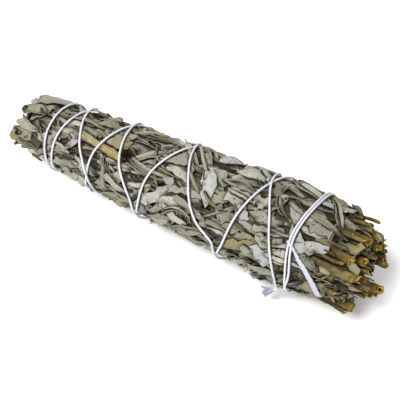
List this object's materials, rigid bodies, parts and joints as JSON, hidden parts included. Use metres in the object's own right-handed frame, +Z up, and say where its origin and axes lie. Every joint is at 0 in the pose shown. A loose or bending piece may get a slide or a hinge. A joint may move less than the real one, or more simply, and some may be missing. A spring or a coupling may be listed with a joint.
{
  "type": "sage bunch",
  "caption": "Long tapering bunch of dried leafy stems pressed together and bound with crossing turns of cotton string, cut stems showing at its wide end.",
  "frame": {"origin": "centre of the bounding box's bottom face, on the surface the bunch lies on", "axes": "+X from the leaf tips to the cut stems, +Z up, +Y to the left of someone looking along +X"},
  "size_m": [0.2133, 0.054, 0.0514],
  "materials": {
    "leaves": "dry, velvety, matt",
    "stems": "dry bark, cut ends golden",
    "side_stem": "dry bark, matt",
    "string": "white cotton, matt"
  },
  "bodies": {
    "root": {"leaves_outer_1": "leaves", "leaves_outer_2": "leaves", "leaves_outer_3": "leaves", "leaves_outer_4": "leaves", "leaves_outer_5": "leaves", "leaves_outer_6": "leaves", "leaves_outer_7": "leaves", "leaves_outer_8": "leaves", "leaves_inner_1": "leaves", "leaves_inner_2": "leaves", "leaves_inner_3": "leaves", "leaves_inner_4": "leaves", "stem_01": "stems", "stem_02": "stems", "stem_03": "stems", "stem_04": "stems", "stem_05": "stems", "stem_06": "stems", "stem_07": "stems", "stem_08": "stems", "stem_09": "stems", "stem_10": "stems", "stem_11": "stems", "stem_12": "stems", "stem_13": "stems", "stem_14": "stems", "stem_15": "stems", "stem_16": "stems", "stem_17": "stems", "stem_18": "stems", "stem_19": "stems", "side_stem": "side_stem", "string": "string"}
  },
  "joints": []
}
